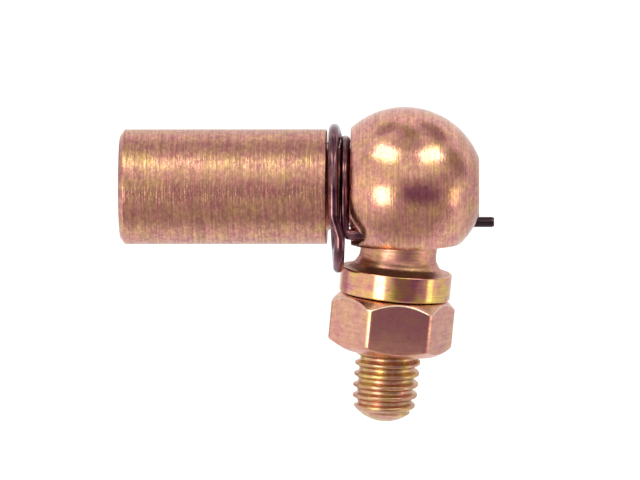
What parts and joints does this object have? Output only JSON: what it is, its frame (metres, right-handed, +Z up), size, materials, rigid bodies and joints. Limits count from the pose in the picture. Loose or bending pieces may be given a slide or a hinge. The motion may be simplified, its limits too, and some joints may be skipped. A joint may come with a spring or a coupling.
{
  "type": "angle ball joint",
  "caption": "Angle ball joint: round-headed socket with a female-threaded shank, ball stud with collar and male thread, hexagon nut and wire safety clip.",
  "frame": {"origin": "centre of the stud collar's seat face, where the lever is clamped", "axes": "+Z up the ball stud's axis towards the ball; the socket's shank points towards -X and droops 5.6 degrees; +Y completes the right-handed frame"},
  "size_m": [0.0346, 0.0144, 0.0287],
  "materials": {
    "socket_steel": "turned steel, zinc plated and yellow chromated",
    "stud_steel": "turned steel, zinc plated and yellow chromated",
    "nut_steel": "cold-formed steel, zinc plated and yellow chromated",
    "clip_wire": "dark tempered spring wire"
  },
  "bodies": {
    "nut": {"hex_nut": "nut_steel"},
    "stud": {"ball_stud": "stud_steel"},
    "socket": {"ball_socket": "socket_steel", "safety_clip": "clip_wire"}
  },
  "joints": [
    {"name": "swivel", "type": "hinge", "parent": "nut", "child": "stud", "pos_m": [0, 0, 0.0099], "axis": [0, 0, 1], "continuous": true},
    {"name": "socket_tilt", "type": "hinge", "parent": "stud", "child": "socket", "pos_m": [0, 0, 0.0099], "axis": [0, 1, 0], "range_deg": [0, 20]}
  ]
}
